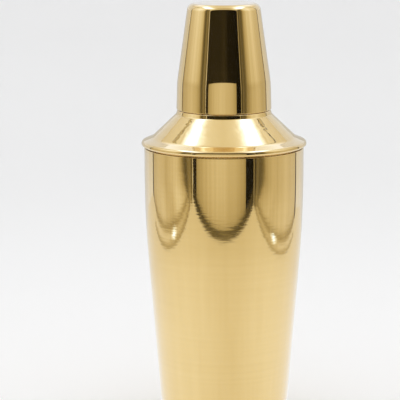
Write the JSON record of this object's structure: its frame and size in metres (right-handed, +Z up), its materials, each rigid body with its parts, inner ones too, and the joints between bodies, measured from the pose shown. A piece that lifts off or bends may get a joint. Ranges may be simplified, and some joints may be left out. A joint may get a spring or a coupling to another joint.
{
  "type": "cocktail shaker",
  "caption": "Cocktail shaker in gold-tone sheet metal: tapered tumbler, plug-in strainer top with a conical shoulder and rolled edge, and a tapered cap that fits its neck.",
  "frame": {"origin": "centre of the base, on the surface the shaker stands on", "axes": "+Z up the shaker's axis, from the base to the top of the cap; the shape is the same all round, so +X and +Y are any two directions across it"},
  "size_m": [0.09, 0.09, 0.232],
  "materials": {
    "satin_gold": "gold tone, fine satin turned round the axis",
    "polished_gold": "gold tone, mirror polished",
    "strainer_gold": "gold tone, plain drawn finish with little polish"
  },
  "bodies": {
    "tumbler": {"tumbler": "satin_gold"},
    "strainer": {"strainer_shoulder": "polished_gold", "strainer_sleeve": "strainer_gold", "sieve_plate": "strainer_gold"},
    "cap": {"cap": "polished_gold"}
  },
  "joints": [
    {"name": "strainer_lift", "type": "slide", "parent": "tumbler", "child": "strainer", "axis": [0, 0, 1], "range_m": [0, 0.08]},
    {"name": "cap_lift", "type": "slide", "parent": "strainer", "child": "cap", "axis": [0, 0, 1], "range_m": [0, 0.06]}
  ]
}
